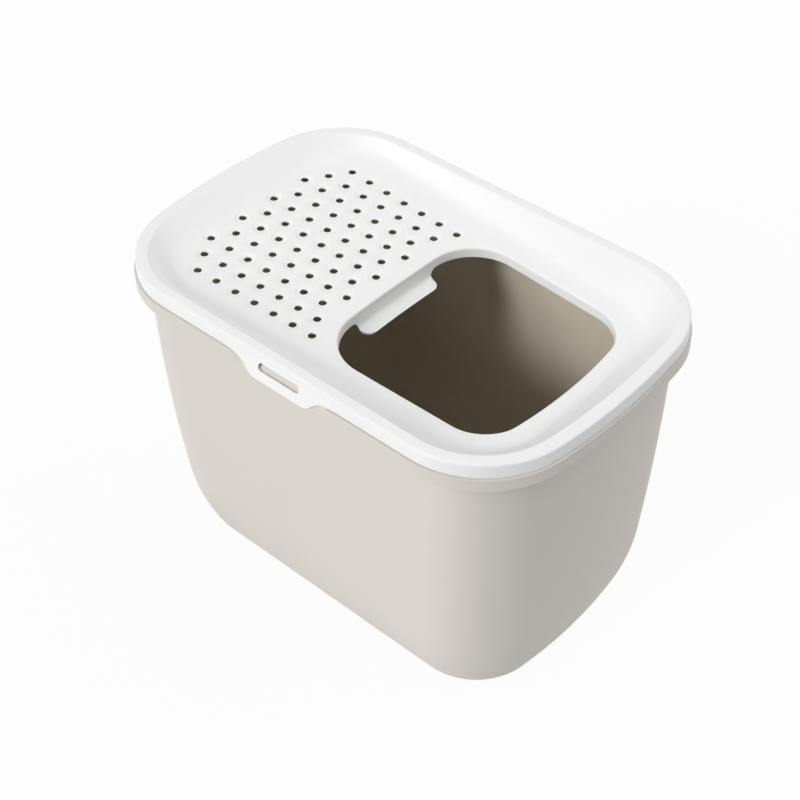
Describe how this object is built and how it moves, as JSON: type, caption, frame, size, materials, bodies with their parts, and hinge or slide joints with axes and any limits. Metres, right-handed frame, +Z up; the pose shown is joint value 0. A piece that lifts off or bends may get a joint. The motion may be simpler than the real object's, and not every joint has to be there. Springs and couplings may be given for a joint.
{
  "type": "top entry litter box",
  "caption": "Deep tapered litter tub with a collar and a lift-off dished lid, entered from above through a large rounded opening beside a field of drain holes.",
  "frame": {"origin": "bottom centre of the tub, on the face it stands on", "axes": "+X along the long side towards the entry opening, +Y across, +Z up; the two snap tabs are on the -Y and +Y sides"},
  "size_m": [0.5848, 0.3912, 0.395],
  "materials": {
    "tub_plastic": "fine-textured moulded polypropylene, warm grey",
    "lid_plastic": "fine-textured moulded polypropylene, white"
  },
  "bodies": {
    "tub": {"litter_tub": "tub_plastic"},
    "lid": {"entry_lid": "lid_plastic"}
  },
  "joints": [
    {"name": "lid_lift", "type": "slide", "parent": "tub", "child": "lid", "axis": [0, 0, 1], "range_m": [0, 0.12]}
  ]
}
